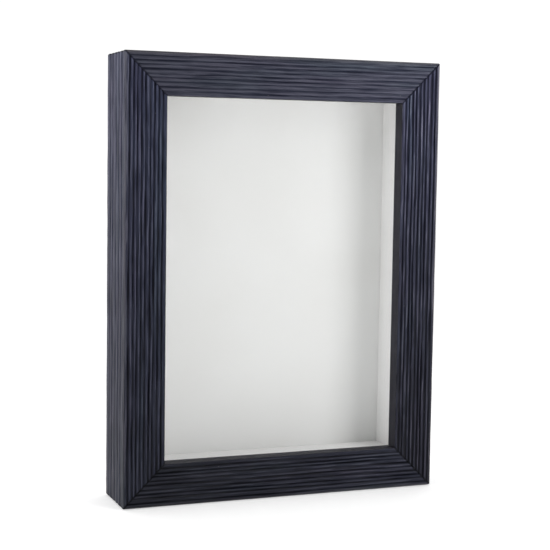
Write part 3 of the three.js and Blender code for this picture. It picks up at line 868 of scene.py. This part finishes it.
def add_turn_buttons():
    for joint in frame["joints"]:
        if joint["child"].startswith("turn_button"):
            node = joint["child"]
            stand_for(turn_button(f"visual_{node}", node, joint), node, ZINC)


# ---------------------------------------------------------------- D-ring hangers
STRAP_SHEET = 0.8 * MM
STRAP_EDGE = 0.18 * MM
STRAP_STEPS = 60
EYE_STEPS = 30
EYE_SWEEP = math.radians(292)
RING_STEPS = 72
WIRE_STEPS = 20
RING_BEND = 1.3 * MM  # how far the bend between bar and bow reaches along each
BEND_STEPS = 5
BAR_STEPS = 13
WIRE_FIT = 0.99  # keeps the wire just inside the CAD wire


def strap(name, node, side):
    """A strip of sheet, flat on the wood and rolled at its top into an eye round the ring's bar."""
    low, high = box(node)
    joint = next(j for j in frame["joints"] if j["child"] == f"hanger_ring_{side}")
    axis = Vector(joint["pos_m"])
    half_width = (high.x - low.x) / 2
    corner = half_width * 0.8
    rolled = (axis.y - low.y) - STRAP_SHEET / 2
    length = axis.z - low.z
    stations = []
    for step in range(STRAP_STEPS + 1):
        share = (step / STRAP_STEPS) ** 1.8
        rise = share * length
        depth = max(0.0, 1 - rise / corner)
        width = half_width - corner * (1 - math.sqrt(max(0.0, 1 - depth**2)))
        stations.append((Vector((0, -rolled, rise - length)), Vector((0, 1, 0)), width))
    for step in range(1, EYE_STEPS + 1):
        angle = EYE_SWEEP * step / EYE_STEPS
        normal = Vector((0, math.cos(angle), -math.sin(angle)))
        stations.append((normal * -rolled, normal, half_width))
    vertices = []
    for middle, normal, width in stations:
        for across, out in strip_section(width, STRAP_SHEET / 2, STRAP_EDGE):
            vertices.append(axis + middle + normal * out + Vector((across, 0, 0)))
    columns = len(strip_section(1, STRAP_SHEET / 2, STRAP_EDGE))
    last = (len(stations) - 1) * columns
    faces = grid_faces(len(stations), columns, wrap_columns=True)
    faces += [tuple(range(columns)), tuple(last + k for k in reversed(range(columns)))]
    obj = mesh_object(name, vertices, faces, METAL_SHARP_DEGREES)
    holes = []
    for place in ("upper", "lower"):
        screw_low, screw_high = box(f"hanger_screw_{side}_{place}")
        middle = (screw_low + screw_high) / 2
        holes.append(cylinder(
            "strap_hole", SCREW_RADIUS + GAP, low.y - CUTTER_REACH, low.y + 3 * CUTTER_REACH,
            middle.x, middle.z))
    cut(obj, holes, METAL_SHARP_DEGREES)
    return obj


def strip_section(width, half, edge):
    """The outline across a strip of sheet metal, its long edges eased."""
    return [
        (-width, -half + edge), (-width, half - edge),
        (-width + edge, half), (0, half), (width - edge, half),
        (width, half - edge), (width, -half + edge),
        (width - edge, -half), (0, -half), (-width + edge, -half),
    ]


def ring_path(half_width, drop):
    """Points round a D: a straight bar through the eye and a bow that hangs below it."""
    first = math.asin(RING_BEND / drop)
    bow = [
        Vector((half_width * math.cos(a), 0, -drop * math.sin(a)))
        for a in np.linspace(first, math.pi - first, RING_STEPS)
    ]
    corner, bar_end = Vector((half_width, 0, 0)), Vector((half_width - RING_BEND, 0, 0))
    shares = np.linspace(0, 1, BEND_STEPS + 1)[1:]
    turn_left = [quadratic(bow[-1], -corner, -bar_end, t) for t in shares]
    bar = [Vector((x, 0, 0)) for x in np.linspace(-bar_end.x, bar_end.x, BAR_STEPS + 1)[1:]]
    turn_right = [quadratic(bar_end, corner, bow[0], t) for t in shares[:-1]]
    return bow + turn_left + bar + turn_right


def quadratic(start, control, end, t):
    return start * (1 - t) ** 2 + control * (2 * t * (1 - t)) + end * t**2


def d_ring(name, node, side):
    low, high = box(node)
    joint = next(j for j in frame["joints"] if j["child"] == node)
    axis = Vector(joint["pos_m"])
    path = ring_path((high.x - low.x) / 2 - WIRE_RADIUS, axis.z - low.z - WIRE_RADIUS)
    count = len(path)
    vertices = []
    for k, point in enumerate(path):
        ahead = (path[(k + 1) % count] - path[k - 1]).normalized()
        across = Vector((0, 1, 0)).cross(ahead)
        for step in range(WIRE_STEPS):
            angle = 2 * math.pi * step / WIRE_STEPS
            offset = across * math.cos(angle) + Vector((0, 1, 0)) * math.sin(angle)
            vertices.append(axis + point + offset * WIRE_RADIUS * WIRE_FIT)
    faces = grid_faces(count, WIRE_STEPS, wrap_rows=True, wrap_columns=True)
    return mesh_object(name, vertices, faces, METAL_SHARP_DEGREES)


def add_hangers():
    for side in ("left", "right"):
        strap_node, ring_node = f"hanger_strap_{side}", f"hanger_ring_{side}"
        stand_for(strap(f"visual_{strap_node}", strap_node, side), strap_node, ZINC)
        stand_for(d_ring(f"visual_{ring_node}", ring_node, side), ring_node, NICKEL)


# ---------------------------------------------------------------- bumpers
BUMPER_STEPS = 48
CROWN_STEPS = 12
CROWN_TAPER = 0.323  # how far the crown draws in, as a share of the radius
DIMPLE_LEVEL = 0.97


def add_bumpers():
    for side in ("left", "right"):
        node = f"bumper_{side}"
        low, high = box(node)
        radius, thick = (high.x - low.x) / 2, high.y - low.y
        crown = [
            (radius * (1 - CROWN_TAPER * (a / (math.pi / 2)) ** 2.2), thick * (0.3 + 0.7 * math.sin(a)))
            for a in np.linspace(0, math.pi / 2, CROWN_STEPS)
        ]
        dimple = thick * DIMPLE_LEVEL
        profile = [(0, 0), (radius * 0.96, 0), (radius, 0.06 * thick)] + crown
        profile += [(radius * 0.5, thick), (radius * 0.44, dimple), (0, dimple)]
        middle = (low + high) / 2
        bumper = turned(f"visual_{node}", profile, BUMPER_STEPS, (middle.x, low.y, middle.z))
        stand_for(bumper, node, RUBBER)


add_rails()
add_contents()
add_screws()
add_turn_buttons()
add_hangers()
add_bumpers()

# ---------------------------------------------------------------- camera, light and floor
CAMERA_AZIMUTH = -21.389
CAMERA_ELEVATION = 4.889
CAMERA_ROLL = 0.860
CAMERA_DISTANCE = 1.0950
CAMERA_LENS = 88.77
AIM = Vector((-10 * MM, FRONT, HEIGHT / 2 + 4 * MM))
SENSOR_WIDTH = 36
# Each light: place, size and power in watts, aimed at the middle of the box.
LIGHTS = {
    "left_softbox": ((-1.75, -0.34, 0.32), (0.45, 1.3), 15.5),
    "right_softbox": ((0.97, -1.26, 0.70), (0.85, 1.2), 13.6),
    "top_softbox": ((0.1, -0.9, 1.6), (1.2, 0.6), 2.2),
}
WORLD_FRONT = 0.06
WORLD_BACK = 1.05
WORLD_OVERHEAD = 0.55
FLOOR_GLOW = 0.40
FLOOR_BEHIND = 6
FLOOR_AHEAD = 40
FLOOR_DROP = 0.5 * MM  # keeps the floor clear of the underside


def add_camera():
    data = bpy.data.cameras.new("camera")
    data.lens = CAMERA_LENS
    data.sensor_width = SENSOR_WIDTH
    camera = bpy.data.objects.new("camera", data)
    bpy.context.scene.collection.objects.link(camera)
    azimuth, elevation = math.radians(CAMERA_AZIMUTH), math.radians(CAMERA_ELEVATION)
    level = math.cos(elevation)
    away = Vector((math.sin(azimuth) * level, -math.cos(azimuth) * level, math.sin(elevation)))
    place = Matrix.Translation(AIM + away * CAMERA_DISTANCE)
    facing = away.to_track_quat("Z", "Y").to_matrix().to_4x4()
    roll = Matrix.Rotation(math.radians(CAMERA_ROLL), 4, "Z")
    camera.matrix_world = place @ facing @ roll
    bpy.context.scene.camera = camera


def add_light(name, at, size, power):
    data = bpy.data.lights.new(name, "AREA")
    data.shape = "RECTANGLE"
    data.size, data.size_y = size
    data.energy = power
    light = bpy.data.objects.new(name, data)
    bpy.context.scene.collection.objects.link(light)
    light.location = at
    light.rotation_euler = (CENTRE - Vector(at)).to_track_quat("-Z", "Y").to_euler()


def add_floor():
    near, far = FLOOR_BEHIND, FLOOR_AHEAD
    corners = [(-far, -far, 0), (far, -far, 0), (near, near, 0), (-near, near, 0)]
    floor = mesh_object("floor", corners, [(0, 1, 2, 3)])
    n = Nodes("floor_paper")
    n.set(Base_Color=(0.80, 0.80, 0.80, 1), Roughness=0.9)
    n.set(Emission_Color=(1, 1, 1, 1), Emission_Strength=FLOOR_GLOW)
    floor.data.materials.append(n.material)
    floor.location.z = -FLOOR_DROP
    floor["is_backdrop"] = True


def add_world():
    """White all round: bright behind and overhead, dimmer on the camera's side."""
    world = bpy.data.worlds.new("studio")
    bpy.context.scene.world = world
    world.use_nodes = True
    tree = world.node_tree
    background = tree.nodes["Background"]
    background.inputs["Color"].default_value = (1, 1, 1, 1)
    split = tree.nodes.new("ShaderNodeSeparateXYZ")
    tree.links.new(tree.nodes.new("ShaderNodeTexCoord").outputs["Generated"], split.inputs[0])
    parts = []
    # Axis of the direction looked in, where the change starts and ends, strength before and after.
    for axis, start, end, low, high in (
        ("Y", -0.1, 0.5, WORLD_FRONT, WORLD_BACK),
        ("Z", 0.4, 0.9, 0, WORLD_OVERHEAD),
    ):
        ranged = tree.nodes.new("ShaderNodeMapRange")
        tree.links.new(split.outputs[axis], ranged.inputs["Value"])
        for name, value in (("From Min", start), ("From Max", end), ("To Min", low), ("To Max", high)):
            ranged.inputs[name].default_value = value
        parts.append(ranged.outputs["Result"])
    total = tree.nodes.new("ShaderNodeMath")
    tree.links.new(parts[0], total.inputs[0])
    tree.links.new(parts[1], total.inputs[1])
    tree.links.new(total.outputs[0], background.inputs["Strength"])


add_camera()
for name, (at, size, power) in LIGHTS.items():
    add_light(name, at, size, power)
add_floor()
add_world()
bpy.context.scene.view_settings.view_transform = "Standard"

sizes = {"cad": [list(map(float, corner)) for corner in cad_bounds],
         "visual": [list(map(float, corner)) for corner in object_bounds()]}
